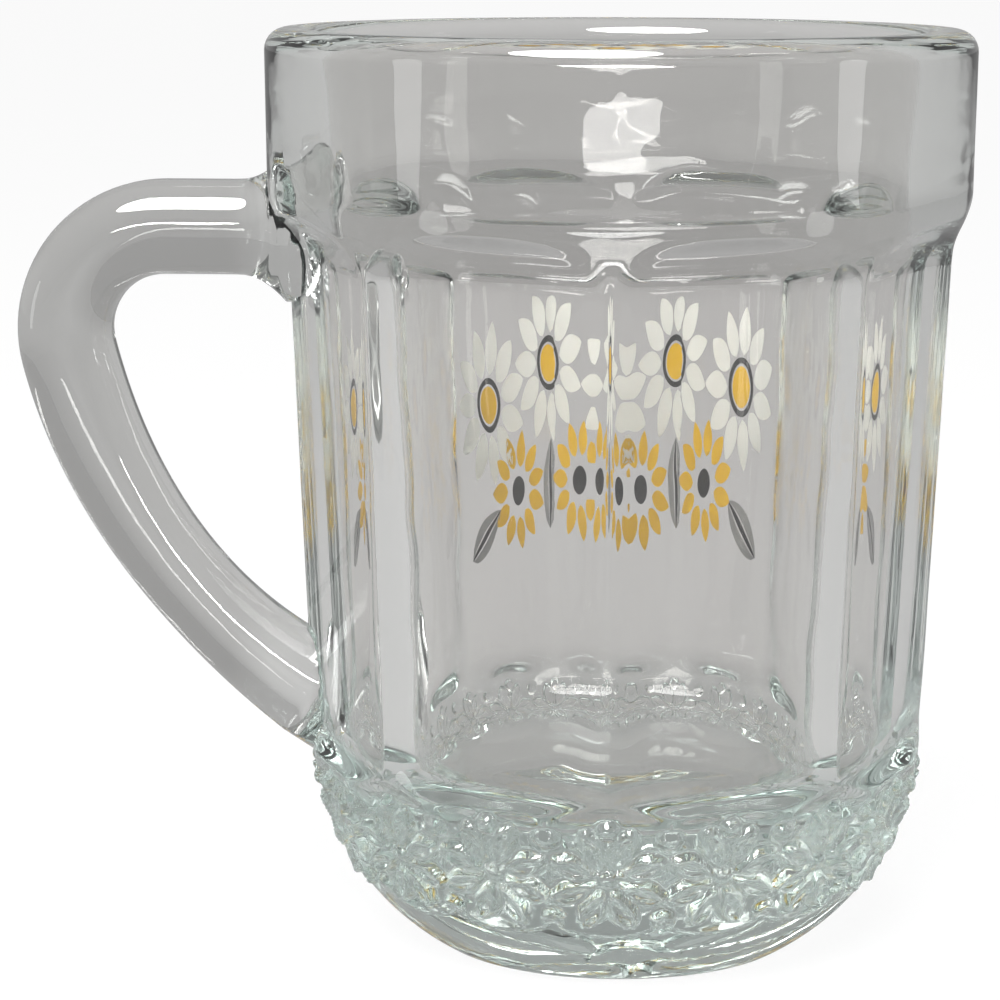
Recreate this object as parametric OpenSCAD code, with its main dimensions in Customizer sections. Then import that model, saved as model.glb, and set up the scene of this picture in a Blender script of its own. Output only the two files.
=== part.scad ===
// Handled shot glass: a small pressed glass tankard with flat panels, a band of pressed daisies,
// a heavy base, a welded glass handle and an enamel print on the far wall.
// The origin is on the bowl's axis at the standing plane, +Z is up and the handle is at -X.

/* [Bowl] */
// Height from the standing plane to the lip
bowl_height = 65; // [58:0.5:75]
// Outer radius of the rim band at the lip
rim_radius = 24.85; // [24.7:0.05:26]
// Outer radius at the lower edge of the rim band
band_radius = 24.7; // [24.3:0.05:25.2]
// Height of the rim band, measured down from the lip
band_height = 11; // [8:0.5:14]
// Height of the curve between the rim band and the wall
shoulder_height = 4.7; // [3:0.1:6]
// Radius over the ridges at the top of the wall
wall_radius = 23.43; // [22.9:0.01:24]
// Lean of the wall from the vertical, in degrees
wall_lean = 2.7; // [2:0.1:3.2]
// Height at which the wall starts to curve in towards the foot
heel_height = 14.8; // [14:0.1:15.5]
// Radius of the curve from the wall down to the standing ring
heel_round = 18; // [17:0.1:20]

/* [Inside] */
// Radius of the bore at the lip
mouth_radius = 21; // [20:0.05:21.6]
// Radius of the bore where the floor's rounding starts
bore_low_radius = 17.7; // [17:0.05:18.2]
// Thickness of the base, up to the inner floor
base_thickness = 12.2; // [10:0.1:15]
// Radius of the rounding between the bore and the floor
floor_round = 2.6; // [1.5:0.1:6]
// Radius of the roundings on the lip
lip_round = 1.5; // [1:0.1:1.7]
// Radius of the hollow under the base
hollow_radius = 9.5; // [7:0.5:10.5]
// Depth of the hollow under the base
hollow_depth = 0.7; // [0.4:0.1:1.2]

/* [Panels] */
// Number of flat panels around the wall
panel_count = 8; // [8:1:8]
// Width of the land left at the top of each ridge
ridge_width = 0.2; // [0.1:0.05:0.6]
// Lean of the flats from the vertical, in degrees: less than the wall's, so the lands widen downwards
flat_lean = 2.1; // [1.8:0.1:2.5]
// Height at which a panel starts to curve out below the rim band, measured down from the lip
panel_drop = 16.6; // [16:0.1:18]
// Radius of the cove at the top of a panel
shelf_round = 4.35; // [4:0.05:4.6]
// Height at which a panel starts to curve out above the daisies
panel_low = 16.5; // [16:0.1:18]
// Radius of the cove at the foot of a panel
sill_round = 3; // [2:0.1:4]

/* [Daisies] */
// Number of pressed daisies around the heel
daisy_count = 16; // [16:1:16]
// Height of a daisy's middle
daisy_height = 9.3; // [8.8:0.1:9.8]
// Depth of a daisy's flat ground below the heel's curve
ground_depth = 0.8; // [0.6:0.05:0.9]
// How far a daisy stands above its ground
daisy_rise = 0.6; // [0.4:0.05:0.8]
// Radius of a daisy over its petals
daisy_radius = 4; // [3.5:0.05:4.05]
// Width of a daisy's petal
daisy_petal_width = 1.7; // [1.4:0.05:1.9]
// Radius of a daisy's eye
daisy_eye = 0.8; // [0.6:0.05:1]
// Radius of the bead above a daisy
bead_radius = 0.7; // [0.5:0.05:0.8]

/* [Handle] */
// Thickness of the handle's arm in its own plane
handle_thickness = 6.7; // [5:0.1:8]
// Width of the handle across its plane
handle_width = 7; // [5:0.1:9]
// How much thinner the limb gets on each side
limb_slim = 0.3; // [0:0.05:0.6]
// Height of the middle of the upper arm, measured down from the lip
arm_drop = 14.1; // [13:0.05:16]
// Length of the straight upper arm, from the wall to the elbow
arm_length = 8.65; // [7:0.05:14]
// Radius of the elbow along the middle of the handle
elbow_radius = 7.3; // [6:0.1:9]
// Turn of the elbow, in degrees
elbow_turn = 104; // [102:0.5:106]
// Radius of the long limb along the middle of the handle
limb_radius = 40.25; // [38.5:0.25:42]
// Turn of the long limb, in degrees
limb_turn = 43.2; // [42:0.1:45]
// Swell of the upper foot on each side
upper_swell = 1.9; // [0.5:0.1:2.5]
// Length of the upper foot's swell
upper_swell_length = 3.4; // [2:0.1:5]
// Swell of the lower foot on each side
lower_swell = 0.6; // [0.3:0.1:1.2]
// Length of the lower foot's swell
lower_swell_length = 12; // [8:0.5:16]

/* [Print] */
// Thickness of the fired enamel
enamel_thickness = 0.08; // [0.05:0.01:0.15]
// Height of the print's lower edge
print_low = 23; // [21:0.5:24]
// Length of a petal of the white blossoms
blossom_petal = 3.8; // [3:0.1:4]
// Width of a petal of the white blossoms
blossom_petal_width = 2; // [1.5:0.1:2.2]
// Radius of the golden eye of the white blossoms
blossom_eye = 1.5; // [1.2:0.1:1.7]
// Width of the black lines
line_width = 0.45; // [0.3:0.05:0.6]
// Length of a leaf
leaf_length = 7; // [5:0.1:8]
// Width of a leaf
leaf_width = 2.7; // [2:0.1:3]

/* [Hidden] */
$fn = 96;

// Colours
glass_colour = [0.82, 0.87, 0.85, 0.5];
white_colour = [0.93, 0.93, 0.9];
yellow_colour = [0.84, 0.6, 0.06];
grey_colour = [0.5, 0.5, 0.5];
black_colour = [0.07, 0.07, 0.07];

// Room that a cut takes beyond the solid it cuts
cut_room = 2;
// Steps along a small rounding and along a shallow curve
round_steps = 8;
curve_steps = 10;

// Heights of the bowl, from the standing plane
band_low = bowl_height - band_height;
shoulder_low = band_low - shoulder_height;
panel_top = bowl_height - panel_drop;

// The wall leans, and its line meets the axis plane at this radius
wall_foot = wall_radius - shoulder_low * tan(wall_lean);
function wall_line(height) = wall_foot + height * tan(wall_lean);

// The heel is one round curve from the wall down to the standing plane
heel_centre = [wall_line(heel_height), heel_height] + heel_round * [-cos(wall_lean), sin(wall_lean)];
foot_angle = asin(heel_centre.y / heel_round);

// Panels: the flats lean less than the wall
panel_step = 360 / panel_count;
ridge_half_angle = ridge_width / wall_radius / 2 * 180 / PI;
flat_top = wall_line(panel_top) * cos(panel_step / 2 - ridge_half_angle);
flat_foot = flat_top - panel_top * tan(flat_lean);
function flat_line(height) = flat_foot + height * tan(flat_lean);
panel_pitch = 2 * flat_top * tan(panel_step / 2);

// Daisies: each lies square to the heel's curve
daisy_tilt = asin((heel_centre.y - daisy_height) / heel_round);
daisy_out = heel_centre.x + heel_round * cos(daisy_tilt);
daisy_step = 360 / daisy_count;
daisy_petals = 8;

// Points of an arc from one angle to another
function arc(centre, radius, from, to, steps) =
    [for (i = [0:steps]) let (a = from + (to - from) * i / steps) centre + radius * [cos(a), sin(a)]];

// A soft step from 0 to 1
function ease(t) = (1 - cos(180 * t)) / 2;

// A pointed oval, lying along x from the origin
module pointed_oval(length, width) {
    r = (length * length + width * width) / 4 / width;
    intersection() {
        translate([length / 2, r - width / 2]) circle(r = r);
        translate([length / 2, width / 2 - r]) circle(r = r);
    }
}

// Outline of the bowl's outside, from the axis round the foot to the lip
function outside_outline() = concat(
    [[0, 0]],
    arc(heel_centre, heel_round, -foot_angle, -wall_lean, curve_steps),
    [for (i = [0:curve_steps]) let (t = i / curve_steps)
        [wall_radius + (band_radius - wall_radius) * ease(t), shoulder_low + shoulder_height * t]],
    arc([rim_radius - lip_round, bowl_height - lip_round], lip_round, 0, 90, round_steps),
    [[0, bowl_height]]
);

// Outline of the hollow inside the bowl, with the inner half of the lip's rounding
function inside_outline() = concat(
    [[0, base_thickness]],
    arc([bore_low_radius - floor_round, base_thickness + floor_round], floor_round, -90, 0, round_steps),
    arc([mouth_radius + lip_round, bowl_height - lip_round], lip_round, 180, 90, round_steps),
    [[mouth_radius + lip_round, bowl_height + cut_room], [0, bowl_height + cut_room]]
);

// Outline of what is cut away for one panel: a leaning flat with a cove at each end
function panel_outline() = concat(
    arc([flat_line(panel_low) + sill_round, panel_low], sill_round, -90, -180, round_steps),
    arc([flat_line(panel_top) + shelf_round, panel_top], shelf_round, 180, 90, round_steps),
    [[rim_radius + shelf_round, panel_top + shelf_round]],
    [[rim_radius + shelf_round, panel_low - sill_round]]
);

// One panel's cut, square to the direction at this angle from the front
module panel_cut(angle) {
    rotate([90, 0, angle - 90])
        linear_extrude(height = panel_pitch + cut_room, center = true)
            polygon(panel_outline());
}

// Lays things on the heel where a daisy is, at this angle from the front: x across, y up, z out
module at_daisy(angle) {
    rotate([90, 0, angle])
        translate([0, daisy_height, daisy_out])
            rotate([daisy_tilt, 0, 0])
                translate([0, 0, -ground_depth]) children();
}

// The flat ground of one daisy
module daisy_ground() {
    size = 4 * daisy_radius;
    translate([-size / 2, -size / 2, 0]) cube([size, size, ground_depth + cut_room]);
}

// One pressed daisy with its eye and the bead above it
module daisy() {
    start = daisy_eye / 2;
    translate([0, 0, -daisy_rise])
        linear_extrude(height = 2 * daisy_rise) {
            for (j = [0:daisy_petals - 1])
                rotate((j + 0.5) * 360 / daisy_petals)
                    translate([start, 0]) pointed_oval(daisy_radius - start, daisy_petal_width);
            circle(r = daisy_eye);
            translate([0, daisy_radius - bead_radius / 4]) circle(r = bead_radius);
        }
}

// The bowl's outside, filled, before the daisies are added
module bowl_outside() {
    difference() {
        rotate_extrude() polygon(outside_outline());
        for (k = [0:panel_count - 1]) panel_cut((k + 0.5) * panel_step);
        for (k = [0:daisy_count - 1]) at_daisy(k * daisy_step) daisy_ground();
    }
}

module bowl() {
    color(glass_colour)
        difference() {
            union() {
                bowl_outside();
                for (k = [0:daisy_count - 1]) at_daisy(k * daisy_step) daisy();
            }
            rotate_extrude() polygon(inside_outline());
            translate([0, 0, -cut_room])
                cylinder(r1 = hollow_radius + cut_room, r2 = hollow_radius, h = cut_room);
            cylinder(r1 = hollow_radius, r2 = hollow_radius - hollow_depth, h = hollow_depth);
        }
}

// Handle: a loft along a straight arm, an elbow and a long limb, all in the plane y = 0
arm_height = bowl_height - arm_drop;
elbow_centre = [-(wall_radius + arm_length), arm_height - elbow_radius];
// How far the loft runs into the wall before it is trimmed
weld_depth = 5;
section_sides = 24;
// How square the handle's section is: 2 is an ellipse
squareness = 3.4;

// A point at a turn along an arc that started out level, and the limb's own centre
function on_arc(centre, radius, turn) = centre + radius * [-sin(turn), cos(turn)];
limb_centre = on_arc(elbow_centre, elbow_radius - limb_radius, elbow_turn);
handle_turn = elbow_turn + limb_turn;
limb_end = on_arc(limb_centre, limb_radius, handle_turn);
limb_heading = [-cos(handle_turn), -sin(handle_turn)];

// How much a foot has swollen at a distance from the wall
function swell(amount, distance, length) = amount * pow(max(0, 1 - max(0, distance) / length), 2);

// Stations of the loft: [place, turn, swell]
arm_stations = [for (t = [-weld_depth / upper_swell_length, 0, 0.15, 0.32, 0.53, 0.77, 1.06, 1.76])
    let (d = t * upper_swell_length)
    [[-(wall_radius + d), arm_height], 0, swell(upper_swell, d, upper_swell_length)]];
elbow_stations = [for (i = [0:14]) let (turn = elbow_turn * i / 14)
    [on_arc(elbow_centre, elbow_radius, turn), turn, 0]];
limb_stations = [for (i = [1:16]) let (
        turn = elbow_turn + limb_turn * i / 16,
        left = limb_radius * (handle_turn - turn) * PI / 180,
        slim = limb_slim * ease(min(1, i / 10))
    )
    [on_arc(limb_centre, limb_radius, turn), turn, swell(lower_swell, left, lower_swell_length) - slim]];
end_station = [limb_end + weld_depth * limb_heading, handle_turn, lower_swell - limb_slim];
stations = concat(arm_stations, elbow_stations, limb_stations, [end_station]);

// One corner of the rounded section
function power(v) = sign(v) * pow(abs(v), 2 / squareness);
function section_point(station, angle) =
    let (
        out = (handle_thickness / 2 + station[2]) * power(cos(angle)),
        side = (handle_width / 2 + station[2] / 2) * power(sin(angle)),
        place = station[0] + out * [-sin(station[1]), cos(station[1])]
    )
    [place.x, side, place.y];

module handle_loft() {
    last = len(stations) - 1;
    n = section_sides;
    corners = [for (s = stations) for (i = [0:n - 1]) section_point(s, 360 * i / n)];
    sides = [for (k = [0:last - 1]) for (i = [0:n - 1]) let (j = (i + 1) % n)
        each [[k * n + i, k * n + j, (k + 1) * n + j], [k * n + i, (k + 1) * n + j, (k + 1) * n + i]]];
    first_cap = [[for (i = [n - 1:-1:0]) i]];
    last_cap = [[for (i = [0:n - 1]) last * n + i]];
    polyhedron(corners, concat(sides, first_cap, last_cap));
}

module handle() {
    color(glass_colour)
        difference() {
            handle_loft();
            bowl_outside();
            at_daisy(-90) daisy();
        }
}

// Print: places are [across, up] in panel widths, seen from outside,
// and start at the middle of the print's lower edge
white_blossoms = [[-0.614, 0.76], [0.061, 0.843], [0.659, 0.687]];
golden_blossoms = [[-0.274, 0.346], [0.374, 0.307]];
// Leaves are [across, up, lean]
leaves = [[-0.67, 0.168, 35], [0.045, 0.324, 90], [0.715, 0.128, 145]];
blossom_petals = 11;
// Room between enamel colours
enamel_gap = 0.2;
golden_scale = 0.72;

module blossom_ring(eye) {
    for (j = [0:blossom_petals - 1])
        rotate(j * 360 / blossom_petals)
            translate([eye + line_width + 2 * enamel_gap, 0])
                pointed_oval(blossom_petal * eye / blossom_eye, blossom_petal_width * eye / blossom_eye);
}

module white_art() {
    for (p = white_blossoms) translate(panel_pitch * p) blossom_ring(blossom_eye);
}

module yellow_art() {
    for (p = white_blossoms) translate(panel_pitch * p) circle(r = blossom_eye);
    for (p = golden_blossoms) translate(panel_pitch * p) blossom_ring(blossom_eye * golden_scale);
}

module grey_art() {
    for (p = leaves)
        translate(panel_pitch * [p[0], p[1]]) rotate(p[2])
            for (side = [0, 1]) mirror([0, side])
                intersection() {
                    translate([-leaf_length / 2, 0]) pointed_oval(leaf_length, leaf_width);
                    translate([-leaf_length, line_width / 2 + enamel_gap])
                        square([2 * leaf_length, leaf_width]);
                }
}

module ring(radius, width) {
    difference() {
        circle(r = radius + width);
        circle(r = radius);
    }
}

module black_art() {
    for (p = white_blossoms) translate(panel_pitch * p) ring(blossom_eye + enamel_gap, line_width);
    for (p = golden_blossoms) translate(panel_pitch * p) circle(r = blossom_eye * golden_scale);
    for (p = leaves)
        translate(panel_pitch * [p[0], p[1]]) rotate(p[2])
            translate([-leaf_length / 2, -line_width / 2]) square([leaf_length, line_width]);
}

// Half the width of a flat at the print's lower edge, where it is narrowest
flat_half_width = sqrt(pow(wall_line(print_low), 2) - pow(flat_line(print_low), 2));

// Lays an enamel colour on the two flats of the far wall, leaving the ridge between them bare
module fire_on_far_wall() {
    for (i = [-0.5, 0.5])
        rotate([90, 0, 180 + i * panel_step])
            translate([0, 0, flat_foot])
                rotate([flat_lean, 0, 0])
                    linear_extrude(height = enamel_thickness)
                        intersection() {
                            translate([-i * panel_pitch, print_low]) children();
                            translate([-flat_half_width, 0]) square([2 * flat_half_width, bowl_height]);
                        }
}

module print_white() {
    color(white_colour) fire_on_far_wall() white_art();
}

module print_yellow() {
    color(yellow_colour) fire_on_far_wall() yellow_art();
}

module print_grey() {
    color(grey_colour) fire_on_far_wall() grey_art();
}

module print_black() {
    color(black_colour) fire_on_far_wall() black_art();
}

bowl();
handle();
print_white();
print_yellow();
print_grey();
print_black();
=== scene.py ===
"""Looks of the handled shot glass: pressed glass, enamel print, floor, light and camera."""
import math

import bmesh
import bpy
import numpy as np
from mathutils import Matrix, Vector


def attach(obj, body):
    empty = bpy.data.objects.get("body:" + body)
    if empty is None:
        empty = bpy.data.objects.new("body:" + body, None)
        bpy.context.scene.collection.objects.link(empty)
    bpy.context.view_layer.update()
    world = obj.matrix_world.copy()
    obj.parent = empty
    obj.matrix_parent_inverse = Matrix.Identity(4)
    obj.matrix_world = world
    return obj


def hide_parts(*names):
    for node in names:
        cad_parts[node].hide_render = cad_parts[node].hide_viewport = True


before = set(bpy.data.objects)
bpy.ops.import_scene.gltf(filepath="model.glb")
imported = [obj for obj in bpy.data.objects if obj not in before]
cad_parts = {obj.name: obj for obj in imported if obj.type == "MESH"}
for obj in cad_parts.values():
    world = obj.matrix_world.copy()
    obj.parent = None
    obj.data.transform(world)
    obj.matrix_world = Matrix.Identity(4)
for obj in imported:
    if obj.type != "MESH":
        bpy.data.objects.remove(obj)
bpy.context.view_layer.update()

MM = 0.001

# Bowl, in millimetres, with the values of the part's source. The rim alone is a hair less,
# so that it stays inside the solid's facets
BOWL_HEIGHT = 65.0
RIM_RADIUS = 24.84
BAND_RADIUS = 24.7
BAND_LOW = 54.0
SHOULDER_LOW = 49.3
WALL_RADIUS = 23.43
WALL_LEAN = math.radians(2.7)
HEEL_HEIGHT = 14.8
HEEL_ROUND = 18.0
MOUTH_RADIUS = 21.0
BORE_LOW_RADIUS = 17.7
BASE_THICKNESS = 12.2
FLOOR_ROUND = 2.6
LIP_ROUND = 1.5
HOLLOW_RADIUS = 9.5
HOLLOW_DEPTH = 0.7
PANEL_COUNT = 8
PANEL_STEP = math.tau / PANEL_COUNT
PANEL_TOP = 48.4
PANEL_LOW = 16.5
SHELF_ROUND = 4.35
SILL_ROUND = 3.0
RIDGE_WIDTH = 0.2
FLAT_LEAN = math.radians(2.1)
# The enamel is fired a little way into the glass
ENAMEL_BITE = 0.03
ENAMEL_PROUD = 0.05
# How softly the ridges and the edges of the coves are rounded, along the wall and at its foot
RIDGE_SOFTNESS = 0.3
SILL_SOFTNESS = 1.0
# Heights between which the softness goes over from that of the foot to that of the wall
SOFTNESS_CHANGE = (14, 22)
OUTER_COLUMNS = 576
INNER_COLUMNS = 192
# Heights of the rings on the outside, close together where it curves or carries the daisies
RING_HEIGHTS = np.concatenate([
    [0.06, 0.2, 0.4, 0.7, 1.1, 1.6, 2.1, 2.6],
    np.arange(3.0, 15.1, 0.18),
    np.arange(15.3, 17, 0.35),
    np.arange(17.3, 48.2, 1.7),
    np.arange(48.4, 54.3, 0.27),
    np.arange(54.8, 63.3, 1.2),
])
# The inner floor sags a little towards its middle, inside this radius
FLOOR_SAG = 0.12
FLOOR_SAG_RADIUS = 15.1

# The wall leans, and the heel is one round curve from it down to the standing plane
WALL_FOOT = WALL_RADIUS - SHOULDER_LOW * math.tan(WALL_LEAN)
HEEL_MIDDLE = HEEL_HEIGHT + HEEL_ROUND * math.sin(WALL_LEAN)
HEEL_MIDDLE_RADIUS = WALL_FOOT + HEEL_HEIGHT * math.tan(WALL_LEAN) - HEEL_ROUND * math.cos(WALL_LEAN)
FOOT_RADIUS = HEEL_MIDDLE_RADIUS + math.sqrt(HEEL_ROUND ** 2 - HEEL_MIDDLE ** 2)
# The flats lean less than the wall, so the lands between them widen downwards
RIDGE_HALF_ANGLE = RIDGE_WIDTH / WALL_RADIUS / 2
FLAT_TOP = (WALL_FOOT + PANEL_TOP * math.tan(WALL_LEAN)) * math.cos(PANEL_STEP / 2 - RIDGE_HALF_ANGLE)
FLAT_FOOT = FLAT_TOP - PANEL_TOP * math.tan(FLAT_LEAN)
PANEL_PITCH = 2 * FLAT_TOP * math.tan(PANEL_STEP / 2)

# Daisy band: each daisy lies on a flat ground that is square to the heel's curve
DAISY_COUNT = 16
DAISY_STEP = math.tau / DAISY_COUNT
DAISY_HEIGHT = 9.3
GROUND_DEPTH = 0.8
# Heights between which the heel carries the band, and how softly the grounds' edges run out
DAISY_LOW = 2.5
DAISY_HIGH = 15.0
GROUND_EDGE = 0.25
DAISY_TILT = math.asin((HEEL_MIDDLE - DAISY_HEIGHT) / HEEL_ROUND)
DAISY_OUT = HEEL_MIDDLE_RADIUS + HEEL_ROUND * math.cos(DAISY_TILT)
PETAL_COUNT = 8
PETAL_START = 0.5
PETAL_END = 4.3
PETAL_HALF_WIDTH = 1.0
PETAL_RISE = 0.75
# How far the daisies sit below the middle of their grounds
DAISY_SINK = 0.4
EYE_RADIUS = 0.85
EYE_RISE = 0.7
# Beads: one above each daisy, and smaller ones between two daisies, above and below
BEAD_RADIUS = 0.8
TOP_BEAD_UP = 3.85
TOP_BEAD_RISE = 0.8
SIDE_BEAD_UP = 3.2
SIDE_BEAD_DOWN = 3.4
SIDE_BEAD_RISE = 0.6
# Above 1 a petal is widest towards its tip, and below 1 its outline and a bead's are fuller
PETAL_TIPWARD = 1.3
PETAL_FULLNESS = 0.7
BEAD_FULLNESS = 0.6
# Width of a petal's raised edge, how far its middle dips, as a share of its rise, and the slope's run
PETAL_EDGE = 0.34
PETAL_DIP = 0.4
PETAL_SLOPE = 0.5


def smooth_min(a, b, softness):
    """The lesser of two, with the corner between them rounded."""
    share = np.clip(0.5 + 0.5 * (b - a) / softness, 0, 1)
    return b * (1 - share) + a * share - softness * share * (1 - share)


def smooth_step(low, high, value):
    t = np.clip((value - low) / (high - low), 0, 1)
    return t * t * (3 - 2 * t)


def wall_line(z):
    """Radius of the wall over its ridges, which widens a little towards the rim."""
    return WALL_FOOT + z * math.tan(WALL_LEAN)


def flat_line(z):
    """Distance of a panel's flat from the axis."""
    return FLAT_FOOT + z * math.tan(FLAT_LEAN)


def turned_radius(z):
    """Radius of the bowl's outside before the panels are cut."""
    heel = HEEL_MIDDLE_RADIUS + np.sqrt(np.maximum(HEEL_ROUND ** 2 - (z - HEEL_MIDDLE) ** 2, 0))
    t = np.clip((z - SHOULDER_LOW) / (BAND_LOW - SHOULDER_LOW), 0, 1)
    shoulder = WALL_RADIUS + (BAND_RADIUS - WALL_RADIUS) * (1 - np.cos(math.pi * t)) / 2
    lean = (RIM_RADIUS - BAND_RADIUS) / (BOWL_HEIGHT - LIP_ROUND - BAND_LOW)
    band = BAND_RADIUS + (z - BAND_LOW) * lean
    zones = [z < HEEL_HEIGHT, z < SHOULDER_LOW, z < BAND_LOW]
    return np.select(zones, [heel, wall_line(z), shoulder], band)


def panel_distance(z):
    """Distance of a panel's surface from the axis: a leaning flat with a cove at each end."""
    up = np.clip(z - PANEL_TOP, 0, SHELF_ROUND)
    down = np.clip(PANEL_LOW - z, 0, SILL_ROUND)
    shelf = SHELF_ROUND - np.sqrt(SHELF_ROUND ** 2 - up ** 2)
    sill = SILL_ROUND - np.sqrt(SILL_ROUND ** 2 - down ** 2)
    uncut = (z > PANEL_TOP + SHELF_ROUND) | (z < PANEL_LOW - SILL_ROUND)
    return np.where(uncut, 2 * RIM_RADIUS, flat_line(z) + ENAMEL_BITE + shelf + sill)


# Press waves, from slow to quick: height, waves round the bowl, climb and shift
PRESS_WAVES = ((0.010, 3, 0.21, 1.0), (0.006, 8, -0.37, 2.1), (0.003, 17, 0.83, 3.7))
# They run out towards the foot and the rim, and where the enamel lies on the far wall
CALM_FOOT = (1.5, 6)
CALM_RIM = (BOWL_HEIGHT - 1, BOWL_HEIGHT - 8)
CALM_BACK = (0.2, 0.5)
# The outside's waves stand out no further than this, and the bore's are this many times as deep
HIGHEST_WAVE = 0.012
BORE_WAVES = 1.4
# The two sides' waves are shifted so that they don't run alike
OUTSIDE_SHIFT = 0.4
BORE_SHIFT = 1.9


def press_waves(phi, z, turn):
    """The slight unevenness that the mould and the plunger leave."""
    waves = np.zeros_like(phi)
    for height, count, climb, shift in PRESS_WAVES:
        waves = waves + height * np.sin(count * phi + climb * z + shift * turn)
    return waves


def dome(distance, radius):
    """A round bead: 1 in its middle, 0 at its edge."""
    return np.maximum(1 - (distance / radius) ** 2, 0) ** BEAD_FULLNESS


def daisy_relief(across, up):
    """How far the pressed daisies stand above their ground."""
    up = up + DAISY_SINK
    rise = EYE_RISE * dome(np.hypot(across, up), EYE_RADIUS)
    for petal in range(PETAL_COUNT):
        angle = (petal + 0.5) * math.tau / PETAL_COUNT
        along = across * math.sin(angle) + up * math.cos(angle)
        beside = across * math.cos(angle) - up * math.sin(angle)
        t = np.clip((along - PETAL_START) / (PETAL_END - PETAL_START), 0, 1)
        half = PETAL_HALF_WIDTH * np.sin(math.pi * t ** PETAL_TIPWARD) ** PETAL_FULLNESS
        inset = half - np.abs(beside)
        rim = smooth_step(0, PETAL_EDGE, inset)
        dip = PETAL_DIP * smooth_step(PETAL_EDGE, PETAL_EDGE + PETAL_SLOPE, inset)
        rise = np.maximum(rise, PETAL_RISE * (rim - dip))
    rise = np.maximum(rise, TOP_BEAD_RISE * dome(np.hypot(across, up - TOP_BEAD_UP), BEAD_RADIUS))
    side = daisy_reach(up) - np.abs(across)
    rise = np.maximum(rise, SIDE_BEAD_RISE * dome(np.hypot(side, up - SIDE_BEAD_UP), BEAD_RADIUS))
    return np.maximum(rise, SIDE_BEAD_RISE * dome(np.hypot(side, up + SIDE_BEAD_DOWN), BEAD_RADIUS))


def daisy_reach(up):
    """Half the width of a daisy's ground, which narrows towards the foot."""
    radius = DAISY_OUT - GROUND_DEPTH * math.cos(DAISY_TILT) + up * math.sin(DAISY_TILT)
    return radius * math.tan(DAISY_STEP / 2)


def daisy_band(radius, height, phi):
    """Rings of the heel with the daisies' flat grounds cut in and the daisies standing on them."""
    place = phi / DAISY_STEP
    turn = (place - np.round(place)) * DAISY_STEP
    forward = radius * np.cos(turn) - DAISY_OUT
    across = radius * np.sin(turn)
    up = (height - DAISY_HEIGHT) * math.cos(DAISY_TILT) + forward * math.sin(DAISY_TILT)
    out = forward * math.cos(DAISY_TILT) - (height - DAISY_HEIGHT) * math.sin(DAISY_TILT)
    # How far the plain heel stands out from the ground, and how far the daisy does
    plain = out + GROUND_DEPTH
    inside = smooth_step(0.0, GROUND_EDGE, plain)
    target = np.where(plain > 0, inside * daisy_relief(across, up), plain)
    move = target - plain
    forward = forward + move * math.cos(DAISY_TILT)
    height = height - move * math.sin(DAISY_TILT)
    return np.hypot(forward + DAISY_OUT, across), height


def outside_ring(z, phi):
    """One ring of the bowl's outside: radius and height at each column."""
    height = np.full_like(phi, z)
    radius = turned_radius(height)
    if DAISY_LOW < z < DAISY_HIGH:
        radius, height = daisy_band(radius, height, phi)
    turn = phi / PANEL_STEP - 0.5
    off_middle = (turn - np.round(turn)) * PANEL_STEP
    flat = panel_distance(height) / np.cos(off_middle)
    wall_share = smooth_step(*SOFTNESS_CHANGE, height)
    softness = SILL_SOFTNESS + (RIDGE_SOFTNESS - SILL_SOFTNESS) * wall_share
    radius = smooth_min(radius, flat, softness)
    strength = smooth_step(*CALM_FOOT, height) * smooth_step(*CALM_RIM, height)
    back = smooth_step(*CALM_BACK, -np.cos(phi))
    waves = press_waves(phi, height, OUTSIDE_SHIFT) * strength * (1 - back)
    return radius + np.minimum(waves, HIGHEST_WAVE), height


def wall_radius(phi, z):
    """Radius of the glass wall where the enamel lies."""
    return np.array([outside_ring(h, np.array([p]))[0][0] for p, h in zip(phi, z)])


def ring_points(radius, height, columns):
    phi = np.arange(columns) * math.tau / columns
    radius = np.broadcast_to(radius, phi.shape)
    height = np.broadcast_to(height, phi.shape)
    return np.stack([radius * np.sin(phi), -radius * np.cos(phi), height], axis=1)


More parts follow.
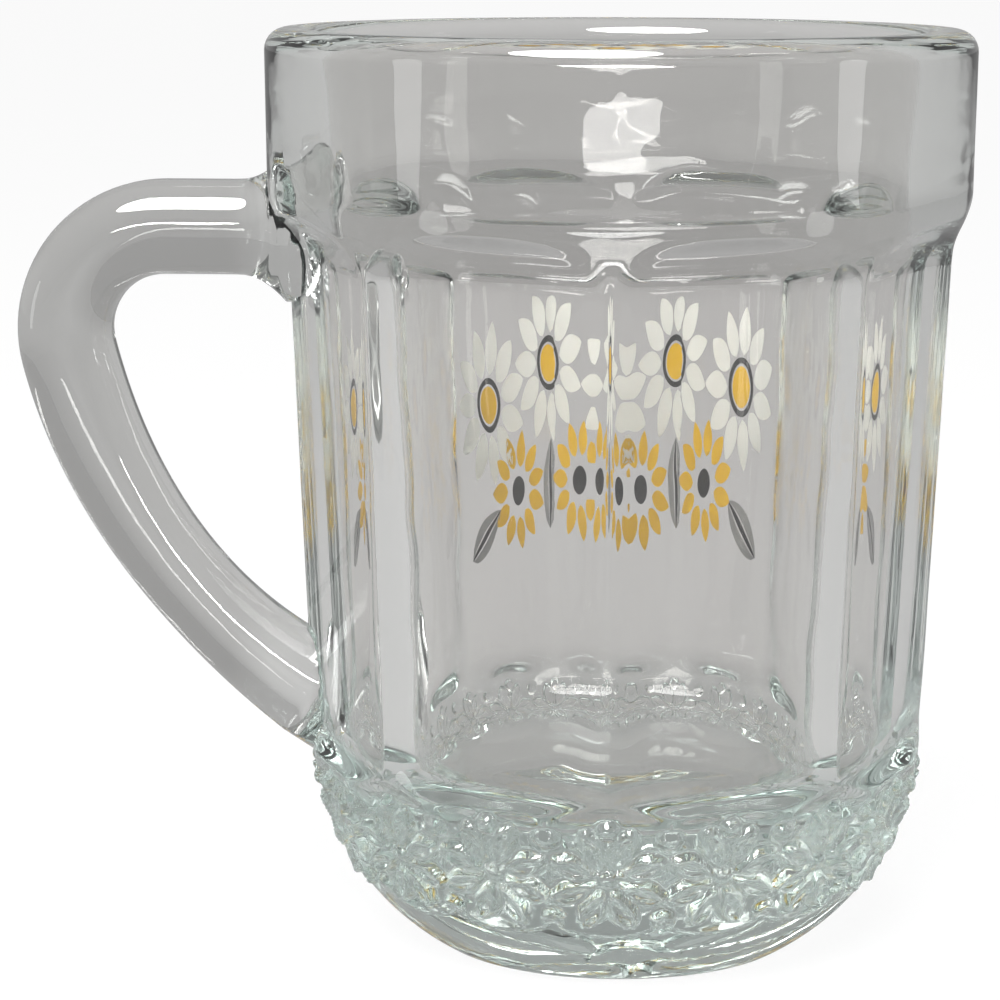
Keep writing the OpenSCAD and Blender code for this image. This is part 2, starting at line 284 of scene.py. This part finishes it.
def bowl_rings():
    """Rings of the whole bowl, from under the base over the outside and the lip to the floor."""
    rings = []
    for radius in np.linspace(0.5, HOLLOW_RADIUS, 18):
        depth = HOLLOW_DEPTH * (1 + math.cos(math.pi * radius / HOLLOW_RADIUS)) / 2
        rings.append(ring_points(radius, depth, INNER_COLUMNS))
    rings.append(ring_points(11, 0, INNER_COLUMNS))
    rings.append(ring_points(FOOT_RADIUS - 0.5, 0, INNER_COLUMNS))
    phi = np.arange(OUTER_COLUMNS) * math.tau / OUTER_COLUMNS
    for z in RING_HEIGHTS:
        radius, height = outside_ring(z, phi)
        rings.append(ring_points(radius, height, OUTER_COLUMNS))
    for angle in np.linspace(0, math.pi / 2, 8):
        radius = RIM_RADIUS - LIP_ROUND * (1 - math.cos(angle))
        height = BOWL_HEIGHT - LIP_ROUND * (1 - math.sin(angle))
        rings.append(ring_points(radius, height, OUTER_COLUMNS))
    phi = np.arange(INNER_COLUMNS) * math.tau / INNER_COLUMNS
    for angle in np.linspace(0, math.pi / 2, 8):
        radius = MOUTH_RADIUS + LIP_ROUND * (1 - math.sin(angle))
        height = BOWL_HEIGHT - LIP_ROUND * (1 - math.cos(angle))
        rings.append(ring_points(radius, height, INNER_COLUMNS))
    bore_top = BOWL_HEIGHT - LIP_ROUND
    bore_low = BASE_THICKNESS + FLOOR_ROUND
    for z in np.linspace(bore_top - 1.2, bore_low, 34):
        radius = np.interp(z, [bore_low, bore_top], [BORE_LOW_RADIUS, MOUTH_RADIUS])
        strength = smooth_step(*CALM_RIM, z)
        waves = BORE_WAVES * press_waves(phi, np.full_like(phi, z), BORE_SHIFT) * strength
        rings.append(ring_points(radius + waves, z, INNER_COLUMNS))
    for angle in np.linspace(0, math.pi / 2, 14)[1:]:
        radius = BORE_LOW_RADIUS - FLOOR_ROUND * (1 - math.cos(angle))
        height = bore_low - FLOOR_ROUND * math.sin(angle)
        rings.append(ring_points(radius, height, INNER_COLUMNS))
    for radius in (12, 8, 4):
        sag = FLOOR_SAG * (1 - (radius / FLOOR_SAG_RADIUS) ** 2)
        rings.append(ring_points(radius, BASE_THICKNESS - sag, INNER_COLUMNS))
    return rings


def bridge(first, first_count, second, second_count):
    """Faces between two rings whose column counts are equal or a whole number of times apart."""
    faces = []
    few = min(first_count, second_count)
    a_step = first_count // few
    b_step = second_count // few
    for j in range(few):
        a = [first + (j * a_step + k) % first_count for k in range(a_step + 1)]
        b = [second + (j * b_step + k) % second_count for k in range(b_step + 1)]
        faces.append(a + b[::-1])
    return faces


def mesh_object(name, points, faces):
    """A mesh in metres from points in millimetres, with its faces turned outwards."""
    mesh = bpy.data.meshes.new(name)
    mesh.from_pydata((np.asarray(points) * MM).tolist(), [], faces)
    shaper = bmesh.new()
    shaper.from_mesh(mesh)
    bmesh.ops.recalc_face_normals(shaper, faces=shaper.faces)
    shaper.to_mesh(mesh)
    shaper.free()
    mesh.polygons.foreach_set("use_smooth", [True] * len(mesh.polygons))
    piece = bpy.data.objects.new(name, mesh)
    bpy.context.scene.collection.objects.link(piece)
    return piece


def closed_rings(name, rings):
    """A closed mesh through rings, with a fan at each end."""
    points = np.concatenate([rings[0].mean(axis=0, keepdims=True)] + rings
                            + [rings[-1].mean(axis=0, keepdims=True)])
    starts = np.cumsum([1] + [len(ring) for ring in rings])
    faces = []
    first_count = len(rings[0])
    for j in range(first_count):
        faces.append([0, 1 + j, 1 + (j + 1) % first_count])
    for k in range(len(rings) - 1):
        faces += bridge(int(starts[k]), len(rings[k]), int(starts[k + 1]), len(rings[k + 1]))
    last = len(points) - 1
    last_start = int(starts[-2])
    last_count = len(rings[-1])
    for j in range(last_count):
        faces.append([last, last_start + (j + 1) % last_count, last_start + j])
    return mesh_object(name, points, faces)


# Handle, in millimetres, in the plane y = 0
HANDLE_THICKNESS = 6.7
HANDLE_WIDTH = 7.0
LIMB_SLIM = 0.3
ARM_HEIGHT = BOWL_HEIGHT - 14.1
ARM_LENGTH = 8.65
ELBOW_RADIUS = 7.3
ELBOW_TURN = math.radians(104)
LIMB_RADIUS = 40.25
LIMB_TURN = math.radians(43.2)
UPPER_SWELL = 1.9
UPPER_SWELL_LENGTH = 3.4
LOWER_SWELL = 0.6
LOWER_SWELL_LENGTH = 12.0
# How square the handle's section is, rounder than in the source: 2 is an ellipse
SQUARENESS = 2.6
SECTION_SIDES = 44
# How far from the axis the handle is clear of the wall
HANDLE_START = 24.5
# Run over which the glass takes on the handle's darker tint, a painted shade, from there
HANDLE_SHADE_RUN = 3
# Where the handle's ends lie inside the wall
UPPER_END = -21.2
LOWER_END = -19.6
END_ROOM = 0.05
# Places along the arm, outwards from the wall, close together where its foot swells
ARM_PLACES = (
    -WALL_RADIUS - UPPER_END, -1.2, -0.5, 0, 0.3, 0.6, 0.9, 1.2, 1.6, 2, 2.5, 3, 3.6, 4.6, 6, 7.6,
)
# Share of the limb along which it slims
LIMB_SLIM_RUN = 0.6


def on_arc(centre, radius, turn):
    return centre + radius * np.array([-math.sin(turn), math.cos(turn)])


def swell(amount, distance, length):
    return amount * max(0, 1 - max(0, distance) / length) ** 2


def handle_stations():
    """Places along the handle's middle: place, turn and swell of the foot."""
    stations = []
    for out in ARM_PLACES:
        place = np.array([-(WALL_RADIUS + out), ARM_HEIGHT])
        stations.append((place, 0.0, swell(UPPER_SWELL, out, UPPER_SWELL_LENGTH)))
    elbow = np.array([-(WALL_RADIUS + ARM_LENGTH), ARM_HEIGHT - ELBOW_RADIUS])
    for turn in np.linspace(0, ELBOW_TURN, 26):
        stations.append((on_arc(elbow, ELBOW_RADIUS, turn), turn, 0.0))
    limb = on_arc(elbow, ELBOW_RADIUS - LIMB_RADIUS, ELBOW_TURN)
    for turn in np.linspace(ELBOW_TURN, ELBOW_TURN + LIMB_TURN, 44)[1:]:
        left = LIMB_RADIUS * (ELBOW_TURN + LIMB_TURN - turn)
        slim = LIMB_SLIM * smooth_step(0, LIMB_SLIM_RUN, (turn - ELBOW_TURN) / LIMB_TURN)
        swollen = swell(LOWER_SWELL, left, LOWER_SWELL_LENGTH) - slim
        stations.append((on_arc(limb, LIMB_RADIUS, turn), turn, swollen))
    return stations


def rounded(value):
    return math.copysign(abs(value) ** (2 / SQUARENESS), value)


def section_ring(station):
    place, turn, swollen = station
    ring = []
    for i in range(SECTION_SIDES):
        angle = math.tau * i / SECTION_SIDES
        out = (HANDLE_THICKNESS / 2 + swollen) * rounded(math.cos(angle))
        side = (HANDLE_WIDTH / 2 + swollen / 2) * rounded(math.sin(angle))
        x = place[0] - out * math.sin(turn)
        z = place[1] + out * math.cos(turn)
        ring.append((x, side, z))
    return np.array(ring)


def handle_rings():
    """Rings along the handle, whose two ends stay inside the bowl's wall."""
    stations = handle_stations()
    rings = [section_ring(station) for station in stations]
    heading = np.array([-math.cos(stations[-1][1]), 0, -math.sin(stations[-1][1])])
    kept = [ring for ring in rings if ring[:, 0].max() < LOWER_END - END_ROOM]
    last = kept[-1]
    run = (LOWER_END - last[:, 0]) / heading[0]
    kept.append(last + run[:, None] * heading)
    return kept


def weld(bowl, handle, name):
    """Joins the handle to the bowl as one body of glass."""
    joint = bowl.modifiers.new("weld", "BOOLEAN")
    joint.operation = "UNION"
    joint.object = handle
    joint.solver = "MANIFOLD"
    graph = bpy.context.evaluated_depsgraph_get()
    mesh = bpy.data.meshes.new_from_object(bowl.evaluated_get(graph))
    mesh.name = name
    mesh.polygons.foreach_set("use_smooth", [True] * len(mesh.polygons))
    for part in (bowl, handle):
        bpy.data.objects.remove(part)
    piece = bpy.data.objects.new(name, mesh)
    bpy.context.scene.collection.objects.link(piece)
    return piece


# Enamel print: a generic spray of blossoms. Places are across and up, in millimetres,
# from the middle of the print's lower edge, seen from outside
PRINT_LOW = 23.0
WHITE_BLOSSOMS = ((-11.0, 13.62), (1.09, 15.11), (11.81, 12.31))
GOLDEN_BLOSSOMS = ((-4.91, 6.2), (6.7, 5.5))
LEAVES = ((-12.01, 3.01, 35), (0.81, 5.81, 90), (12.81, 2.29, 145))
BLOSSOM_PETALS = 11
BLOSSOM_PETAL = 3.8
BLOSSOM_PETAL_WIDTH = 2.0
BLOSSOM_EYE = 1.5
GOLDEN_SCALE = 0.72
LINE_WIDTH = 0.45
ENAMEL_GAP = 0.2
LEAF_LENGTH = 7.0
LEAF_WIDTH = 2.7
# Petals and leaves are ovals: below 1 they are widest near their start and fuller
OVAL_STARTWARD = 0.85
OVAL_FULLNESS = 0.75
OVAL_LEAST_HALF = 0.02
SHARP_EDGE = math.radians(40)


def turned_about(points, place, angle):
    c = math.cos(angle)
    s = math.sin(angle)
    x = place[0] + points[..., 0] * c - points[..., 1] * s
    y = place[1] + points[..., 0] * s + points[..., 1] * c
    return np.stack([x, y], axis=-1)


def oval_patch(start, length, width, low=-1.0, high=1.0):
    """A pointed oval along x; low and high give the part of its width that is filled."""
    s = np.linspace(0, 1, 13)[:, None]
    t = np.linspace(low, high, 5)[None, :]
    half = width / 2 * np.sin(math.pi * s ** OVAL_STARTWARD) ** OVAL_FULLNESS + OVAL_LEAST_HALF
    return np.stack(np.broadcast_arrays(start + s * length, t * half), axis=-1)


def disc_patch(radius):
    s, t = np.meshgrid(np.linspace(-1, 1, 9), np.linspace(-1, 1, 9), indexing="ij")
    x = s * np.sqrt(1 - t ** 2 / 2)
    y = t * np.sqrt(1 - s ** 2 / 2)
    return radius * np.stack([x, y], axis=-1)


def ring_patches(radius, width):
    """A ring in two halves."""
    patches = []
    for start in (0, math.pi):
        angle = np.linspace(start, start + math.pi, 15)[:, None]
        r = np.array([radius, radius + width])[None, :]
        patches.append(np.stack([r * np.cos(angle), r * np.sin(angle)], axis=-1))
    return patches


def blossom_patches(place, eye):
    scale = eye / BLOSSOM_EYE
    start = eye + LINE_WIDTH + 2 * ENAMEL_GAP
    petal = oval_patch(start, BLOSSOM_PETAL * scale, BLOSSOM_PETAL_WIDTH * scale)
    return [turned_about(petal, place, math.tau * j / BLOSSOM_PETALS) for j in range(BLOSSOM_PETALS)]


def white_art():
    return [patch for place in WHITE_BLOSSOMS for patch in blossom_patches(place, BLOSSOM_EYE)]


def yellow_art():
    patches = [turned_about(disc_patch(BLOSSOM_EYE), place, 0) for place in WHITE_BLOSSOMS]
    for place in GOLDEN_BLOSSOMS:
        patches += blossom_patches(place, BLOSSOM_EYE * GOLDEN_SCALE)
    return patches


def grey_art():
    patches = []
    edge = (LINE_WIDTH / 2 + ENAMEL_GAP) / (LEAF_WIDTH / 2)
    for x, y, lean in LEAVES:
        for low, high in ((edge, 1), (-1, -edge)):
            half = oval_patch(-LEAF_LENGTH / 2, LEAF_LENGTH, LEAF_WIDTH, low, high)
            patches.append(turned_about(half, (x, y), math.radians(lean)))
    return patches


def black_art():
    patches = []
    for place in WHITE_BLOSSOMS:
        for half in ring_patches(BLOSSOM_EYE + ENAMEL_GAP, LINE_WIDTH):
            patches.append(turned_about(half, place, 0))
    for place in GOLDEN_BLOSSOMS:
        patches.append(turned_about(disc_patch(BLOSSOM_EYE * GOLDEN_SCALE), place, 0))
    for x, y, lean in LEAVES:
        vein = oval_patch(-LEAF_LENGTH / 2, LEAF_LENGTH, LINE_WIDTH)
        patches.append(turned_about(vein, (x, y), math.radians(lean)))
    return patches


def on_far_wall(flat_points, proud):
    """Lays points of the art on the far wall, standing proud of the glass by this much."""
    across = flat_points[..., 0].ravel()
    up = flat_points[..., 1].ravel() + PRINT_LOW
    z = up * math.cos(FLAT_LEAN)
    flat = FLAT_FOOT + up * math.sin(FLAT_LEAN)
    panel = np.where(across < 0, -0.5, 0.5)
    angle = math.pi + panel * PANEL_STEP
    beside = across - panel * PANEL_PITCH
    x = flat * np.sin(angle) + beside * np.cos(angle)
    y = -flat * np.cos(angle) + beside * np.sin(angle)
    phi = np.arctan2(x, -y)
    radius = wall_radius(phi, z) + proud
    return np.stack([radius * np.sin(phi), -radius * np.cos(phi), z], axis=1)


def enamel_piece(name, patches):
    """One enamel colour: thin closed patches that follow the far wall."""
    points = []
    faces = []
    base = 0
    for patch in patches:
        rows, columns = patch.shape[:2]
        size = rows * columns
        points.append(on_far_wall(patch, -ENAMEL_BITE))
        points.append(on_far_wall(patch, ENAMEL_PROUD))
        for i in range(rows - 1):
            for j in range(columns - 1):
                corner = base + i * columns + j
                quad = [corner, corner + 1, corner + columns + 1, corner + columns]
                faces.append(quad)
                faces.append([size + v for v in reversed(quad)])
        border = list(range(columns))
        border += [i * columns + columns - 1 for i in range(1, rows)]
        border += [(rows - 1) * columns + j for j in range(columns - 2, -1, -1)]
        border += [i * columns for i in range(rows - 2, 0, -1)]
        for a, b in zip(border, border[1:] + border[:1]):
            faces.append([base + a, base + size + a, base + size + b, base + b])
        base += 2 * size
    piece = mesh_object(name, np.concatenate(points), faces)
    piece.data.set_sharp_from_angle(angle=SHARP_EDGE)
    return piece


class Value:
    """A socket that holds a number, so that sums on it read as Python."""

    def __init__(self, shader, socket):
        self.shader = shader
        self.socket = socket

    def math(self, operation, first, second):
        return self.shader.node("ShaderNodeMath", {"operation": operation}, {0: first, 1: second})

    def __add__(self, other):
        return self.math("ADD", self, other)

    def __radd__(self, other):
        return self.math("ADD", other, self)

    def __sub__(self, other):
        return self.math("SUBTRACT", self, other)

    def __rsub__(self, other):
        return self.math("SUBTRACT", other, self)

    def __mul__(self, other):
        return self.math("MULTIPLY", self, other)

    def __rmul__(self, other):
        return self.math("MULTIPLY", other, self)


class Shader:
    """The node tree of a material or a world."""

    def __init__(self, holder):
        holder.use_nodes = True
        self.holder = holder
        self.tree = holder.node_tree
        self.tree.nodes.clear()

    def node(self, kind, settings=None, sockets=None, out=0):
        made = self.tree.nodes.new(kind)
        for name, value in (settings or {}).items():
            if name == "stops":
                ramp = made.color_ramp
                while len(ramp.elements) < len(value):
                    ramp.elements.new(0.5)
                for element, (position, colour) in zip(ramp.elements, value):
                    element.position = position
                    element.color = colour
            else:
                setattr(made, name, value)
        for name, value in (sockets or {}).items():
            if isinstance(value, Value):
                self.tree.links.new(value.socket, made.inputs[name])
            else:
                made.inputs[name].default_value = value
        if not made.outputs:
            return None
        return Value(self, made.outputs[out])

    def noise(self, scale, detail=2.0, roughness=0.5):
        place = self.node("ShaderNodeTexCoord", out="Object")
        sockets = {"Vector": place, "Scale": scale, "Detail": detail, "Roughness": roughness}
        return self.node("ShaderNodeTexNoise", {}, sockets)

    def rise(self, value, low, high):
        """0 up to a low place, in millimetres, and 1 from a high one on."""
        return self.node("ShaderNodeMapRange", {}, {"Value": value, 1: low * MM, 2: high * MM})

    def handle_shade_mask(self):
        """1 on the handle, which is solid glass painted darker as shade, and 0 on the bowl."""
        place = self.node("ShaderNodeTexCoord", out="Object")
        x = self.node("ShaderNodeSeparateXYZ", {}, {"Vector": place}, "X")
        return 1 - self.rise(x, -HANDLE_START - HANDLE_SHADE_RUN, -HANDLE_START)

    def heel_shade_mask(self):
        """1 on the outside of the thick base, painted darker there as shade, and 0 on the wall and
        inside the bowl.
        """
        place = self.node("ShaderNodeTexCoord", out="Object")
        z = self.node("ShaderNodeSeparateXYZ", {}, {"Vector": place}, "Z")
        level = self.node("ShaderNodeVectorMath", {"operation": "MULTIPLY"}, {0: place, 1: (1, 1, 0)})
        radius = self.node("ShaderNodeVectorMath", {"operation": "LENGTH"}, {0: level}, "Value")
        return self.rise(radius, *HEEL_SHADE_RADII) * (1 - self.rise(z, *HEEL_SHADE_HEIGHTS))

    def seen(self, straight, by_glass):
        """A share for what the camera sees straight, and one for what it sees by way of glass."""
        path = "ShaderNodeLightPath"
        mirrored = self.node(path, {}, {}, "Is Glossy Ray")
        bent = self.node(path, {}, {}, "Is Transmission Ray")
        return self.node(path, {}, {}, "Is Camera Ray") * straight + (mirrored + bent) * by_glass

    def blend(self, share, first, second):
        """A colour between two colours."""
        settings = {"data_type": "RGBA"}
        sockets = {0: share, 6: first, 7: second}
        return self.node("ShaderNodeMix", settings, sockets, out=2)

    def ramp(self, share, stops):
        return self.node("ShaderNodeValToRGB", {"stops": stops}, {"Fac": share})


def grey(value):
    return (value, value, value, 1.0)


# Glass: each tint is a pair that it clouds between, and the depth colour is what thick glass keeps. The
# handle's and the heel's tints are darker than the wall's as painted shade
GLASS_IOR = 1.52
WALL_TINT = ((0.87, 0.855, 0.845, 1), (0.92, 0.905, 0.895, 1))
HANDLE_SHADE_TINT = ((0.70, 0.685, 0.675, 1), (0.77, 0.755, 0.745, 1))
HEEL_SHADE_TINT = ((0.70, 0.715, 0.705, 1), (0.75, 0.765, 0.755, 1))
# Radii and heights, in millimetres, between which the wall's tint goes over into the heel's darker one,
# a painted shade
HEEL_SHADE_RADII = (16.5, 18)
HEEL_SHADE_HEIGHTS = (13, 16)
DEPTH_COLOUR = (0.42, 0.76, 0.66, 1)
DEPTH_DENSITY = 7.0
# Smudges: the share of the noise where they start and are full, with the roughness there
SMUDGES = [(0.5, grey(0.0)), (0.75, grey(0.035))]


def clear_glass():
    """Pressed glass: slightly cloudy in tint, rippled, with a few smudges, deeper where it is thick,
    and painted darker on the handle and heel as shade.
    """
    shader = Shader(bpy.data.materials.new("clear_glass"))
    cloud = shader.noise(45.0, 2.0)
    ripple = shader.noise(170.0, 1.0)
    smudge = shader.noise(110.0, 3.0, 0.6)
    wall = shader.blend(cloud, *WALL_TINT)
    # The handle's and the heel's tints are painted shade, darker than the wall's
    handle = shader.blend(cloud, *HANDLE_SHADE_TINT)
    heel = shader.blend(cloud, *HEEL_SHADE_TINT)
    bowl = shader.blend(shader.heel_shade_mask(), wall, heel)
    tint = shader.blend(shader.handle_shade_mask(), bowl, handle)
    rough = shader.ramp(smudge, SMUDGES)
    bump = shader.node("ShaderNodeBump", {}, {"Strength": 0.05, "Distance": 0.001, "Height": ripple})
    surface = shader.node("ShaderNodeBsdfPrincipled", {}, {
        "Base Color": tint,
        "Roughness": rough,
        "IOR": GLASS_IOR,
        "Transmission Weight": 1.0,
        "Normal": bump,
    })
    sockets = {"Color": DEPTH_COLOUR, "Density": DEPTH_DENSITY}
    depth = shader.node("ShaderNodeVolumeAbsorption", {}, sockets)
    shader.node("ShaderNodeOutputMaterial", {}, {"Surface": surface, "Volume": depth})
    return shader.holder


def enamel(name, colour, shade):
    """Fired enamel: slightly uneven in colour, with a soft shine."""
    shader = Shader(bpy.data.materials.new(name))
    patchy = shader.noise(420.0, 3.0, 0.6)
    grain = shader.noise(3200.0, 2.0)
    mottled = shader.blend(patchy, colour, shade)
    bump = shader.node("ShaderNodeBump", {}, {"Strength": 0.15, "Distance": 0.0001, "Height": grain})
    surface = shader.node("ShaderNodeBsdfPrincipled", {}, {
        "Base Color": mottled,
        "Roughness": patchy * 0.2 + 0.3,
        "IOR": 1.5,
        "Normal": bump,
    })
    shader.node("ShaderNodeOutputMaterial", {}, {"Surface": surface})
    return shader.holder


def dress(piece, material, slot, *nodes):
    piece.data.materials.clear()
    piece.data.materials.append(material)
    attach(piece, "root")
    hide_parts(*nodes)


bowl_blank = closed_rings("bowl_blank", bowl_rings())
handle_blank = closed_rings("handle_blank", handle_rings())
glass = weld(bowl_blank, handle_blank, "pressed_glass")
dress(glass, clear_glass(), "clear_glass", "bowl", "handle")

white = enamel_piece("white_blossoms", white_art())
white_enamel = enamel("white_enamel", (0.89, 0.89, 0.83, 1), (0.82, 0.82, 0.77, 1))
dress(white, white_enamel, "white_enamel", "print_white")
yellow = enamel_piece("golden_blossoms", yellow_art())
yellow_enamel = enamel("yellow_enamel", (0.81, 0.49, 0.002, 1), (0.74, 0.43, 0.002, 1))
dress(yellow, yellow_enamel, "yellow_enamel", "print_yellow")
leaves = enamel_piece("grey_leaves", grey_art())
grey_enamel = enamel("grey_enamel", (0.32, 0.32, 0.32, 1), (0.25, 0.25, 0.25, 1))
dress(leaves, grey_enamel, "grey_enamel", "print_grey")
lines = enamel_piece("black_lines", black_art())
black_enamel = enamel("black_enamel", (0.012, 0.012, 0.013, 1), (0.02, 0.02, 0.02, 1))
dress(lines, black_enamel, "black_enamel", "print_black")


# Floor: greys that it clouds between, for other rays and for what the camera sees straight,
# and the share of plain white in what is seen straight and by way of glass
FLOOR_SHADED = (grey(0.145), grey(0.16))
FLOOR_PALE = (grey(0.85), grey(0.88))
FLOOR_WHITE = 0.93
FLOOR_WHITE_BY_GLASS = 0.23
FLOOR_HALF = 5000.0
FLOOR_STEPS = 8
# World: how bright the room and the wall are, and where along Y one goes over into the other
ROOM_STRENGTH = 0.15
WALL_STRENGTH = 0.45
WALL_START = -0.5
WALL_FULL = 0.3


def pale_floor():
    """A floor that is nearly white to the camera and greyer by way of the glass."""
    shader = Shader(bpy.data.materials.new("pale_floor"))
    soft = shader.noise(6.0, 2.0)
    shaded = shader.blend(soft, *FLOOR_SHADED)
    pale = shader.blend(soft, *FLOOR_PALE)
    straight = shader.node("ShaderNodeLightPath", {}, {}, "Is Camera Ray")
    colour = shader.blend(straight, shaded, pale)
    lit = shader.node("ShaderNodeBsdfPrincipled", {}, {"Base Color": colour, "Roughness": 0.9})
    white = shader.node("ShaderNodeEmission", {}, {"Color": grey(1.0), "Strength": 1.0})
    share = shader.seen(FLOOR_WHITE, FLOOR_WHITE_BY_GLASS)
    surface = shader.node("ShaderNodeMixShader", {}, {0: share, 1: lit, 2: white})
    shader.node("ShaderNodeOutputMaterial", {}, {"Surface": surface})
    return shader.holder


def lay_floor():
    row = FLOOR_STEPS + 1
    places = np.linspace(-FLOOR_HALF, FLOOR_HALF, row)
    points = [(x, y, 0.0) for y in places for x in places]
    corners = [i * row + j for i in range(FLOOR_STEPS) for j in range(FLOOR_STEPS)]
    faces = [[corner, corner + 1, corner + row + 1, corner + row] for corner in corners]
    mesh = bpy.data.meshes.new("floor")
    mesh.from_pydata((np.array(points) * MM).tolist(), [], faces)
    floor = bpy.data.objects.new("floor", mesh)
    bpy.context.scene.collection.objects.link(floor)
    mesh.materials.append(pale_floor())


def studio_world():
    """A pale wall behind the glass and a dim room on the camera's side."""
    shader = Shader(bpy.data.worlds.new("studio"))
    direction = shader.node("ShaderNodeTexCoord", out="Generated")
    ahead = shader.node("ShaderNodeSeparateXYZ", {}, {"Vector": direction}, "Y")
    limits = {"Value": ahead, 1: WALL_START, 2: WALL_FULL, 3: 0.0, 4: 1.0}
    backdrop = shader.node("ShaderNodeMapRange", {"interpolation_type": "SMOOTHSTEP"}, limits)
    room = shader.node("ShaderNodeBackground", {}, {"Color": grey(1.0), "Strength": ROOM_STRENGTH})
    wall = shader.node("ShaderNodeBackground", {}, {"Color": grey(1.0), "Strength": WALL_STRENGTH})
    light = shader.node("ShaderNodeMixShader", {}, {0: backdrop, 1: room, 2: wall})
    shader.node("ShaderNodeOutputWorld", {}, {"Surface": light})
    bpy.context.scene.world = shader.holder


def area_lamp(name, place, aim, width, height, power):
    lamp = bpy.data.lights.new(name, "AREA")
    lamp.shape = "ELLIPSE"
    lamp.size = width
    lamp.size_y = height
    lamp.energy = power
    holder = bpy.data.objects.new(name, lamp)
    holder.location = place
    holder.rotation_euler = (Vector(aim) - Vector(place)).to_track_quat("-Z", "Y").to_euler()
    bpy.context.scene.collection.objects.link(holder)


# Lamps: place and aim, width and height, in metres, and power in watts
LAMPS = {
    "key": ((-0.08, -0.36, 0.46), (0, 0, 0.03), 0.40, 0.40, 10.5),
    "strip": ((0.0, -0.40, 0.066), (0, 0, 0.06), 0.26, 0.018, 0.5),
    "left_strip": ((-0.46, -0.19, 0.06), (0, 0, 0.05), 0.10, 0.16, 0.10),
    "right_strip": ((0.48, -0.11, 0.06), (0, 0, 0.05), 0.10, 0.16, 0.10),
}
# Camera, fitted to the photograph: its place in metres, its turns in radians, its lens in millimetres
CAMERA_PLACE = (0.005105, -0.249948, 0.07335)
CAMERA_PITCH = math.radians(9.5)
CAMERA_YAW = math.radians(-3.08)
CAMERA_ROLL = math.radians(0.132)
CAMERA_LENS = 127.81


def set_camera():
    """The camera that was fitted to the photograph, for a square image."""
    ahead = Vector((
        math.sin(CAMERA_YAW) * math.cos(CAMERA_PITCH),
        math.cos(CAMERA_YAW) * math.cos(CAMERA_PITCH),
        -math.sin(CAMERA_PITCH),
    ))
    right = Vector((math.cos(CAMERA_YAW), -math.sin(CAMERA_YAW), 0))
    up = right.cross(ahead)
    rolled_right = right * math.cos(CAMERA_ROLL) + up * math.sin(CAMERA_ROLL)
    rolled_up = up * math.cos(CAMERA_ROLL) - right * math.sin(CAMERA_ROLL)
    camera = bpy.data.cameras.new("camera")
    camera.lens = CAMERA_LENS
    camera.sensor_width = 36.0
    camera.clip_start = 0.005
    camera.clip_end = 50.0
    holder = bpy.data.objects.new("camera", camera)
    turn = Matrix((rolled_right, rolled_up, -ahead)).transposed()
    holder.matrix_world = Matrix.Translation(Vector(CAMERA_PLACE)) @ turn.to_4x4()
    bpy.context.scene.collection.objects.link(holder)
    bpy.context.scene.camera = holder


lay_floor()
studio_world()
for name, lamp in LAMPS.items():
    area_lamp(name, *lamp)
set_camera()
scene = bpy.context.scene
scene.view_settings.view_transform = "Standard"
scene.cycles.max_bounces = 20
scene.cycles.transmission_bounces = 20
scene.cycles.glossy_bounces = 8
